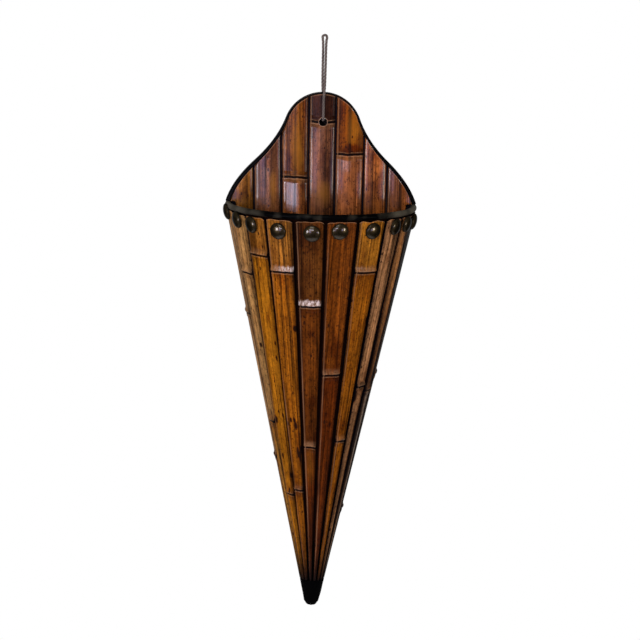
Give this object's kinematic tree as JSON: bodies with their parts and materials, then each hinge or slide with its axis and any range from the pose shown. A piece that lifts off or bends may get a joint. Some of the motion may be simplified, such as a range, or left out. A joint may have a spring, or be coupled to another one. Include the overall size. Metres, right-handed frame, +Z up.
{
  "type": "wall pocket planter",
  "caption": "Half-cone wall pocket of tapered split-bamboo strips with a slatted ogee back panel, brass dome nails under a black rim, and a cord loop that hangs it on a wall nail.",
  "frame": {"origin": "on the back face of the board, on its centre line, level with the rim", "axes": "+Z up, +X to the right seen from the front, which faces -Y"},
  "size_m": [0.1558, 0.0894, 0.4734],
  "materials": {
    "bamboo_front": "split bamboo, stained amber and lacquered",
    "bamboo_back": "split bamboo, stained red-brown and lacquered",
    "black_lacquer": "black lacquer on wood and cane",
    "antique_brass": "aged dark in the hollows, rubbed bright on the dome",
    "twine": "twisted brown-grey cord"
  },
  "bodies": {
    "pocket": {"back_board": "black_lacquer", "back_slat_1": "bamboo_back", "back_slat_2": "bamboo_back", "back_slat_3": "bamboo_back", "back_slat_4": "bamboo_back", "back_slat_5": "bamboo_back", "back_slat_6": "bamboo_back", "back_slat_7": "bamboo_back", "edge_binding": "black_lacquer", "pocket_liner": "black_lacquer", "rim_hoop": "black_lacquer", "rim_trim": "black_lacquer", "tip_block": "black_lacquer", "front_strip_01": "bamboo_front", "front_strip_02": "bamboo_front", "front_strip_03": "bamboo_front", "front_strip_04": "bamboo_front", "front_strip_05": "bamboo_front", "front_strip_06": "bamboo_front", "front_strip_07": "bamboo_front", "front_strip_08": "bamboo_front", "front_strip_09": "bamboo_front", "front_strip_10": "bamboo_front", "rim_nail_01": "antique_brass", "rim_nail_02": "antique_brass", "rim_nail_03": "antique_brass", "rim_nail_04": "antique_brass", "rim_nail_05": "antique_brass", "rim_nail_06": "antique_brass", "rim_nail_07": "antique_brass", "rim_nail_08": "antique_brass", "rim_nail_09": "antique_brass", "rim_nail_10": "antique_brass"},
    "hanging_loop": {"hanging_cord": "twine", "cord_knot": "twine"}
  },
  "joints": [
    {"name": "loop_swing", "type": "hinge", "parent": "pocket", "child": "hanging_loop", "pos_m": [0, -0.0043, 0.067], "axis": [0, 1, 0], "range_deg": [-30, 30]}
  ]
}
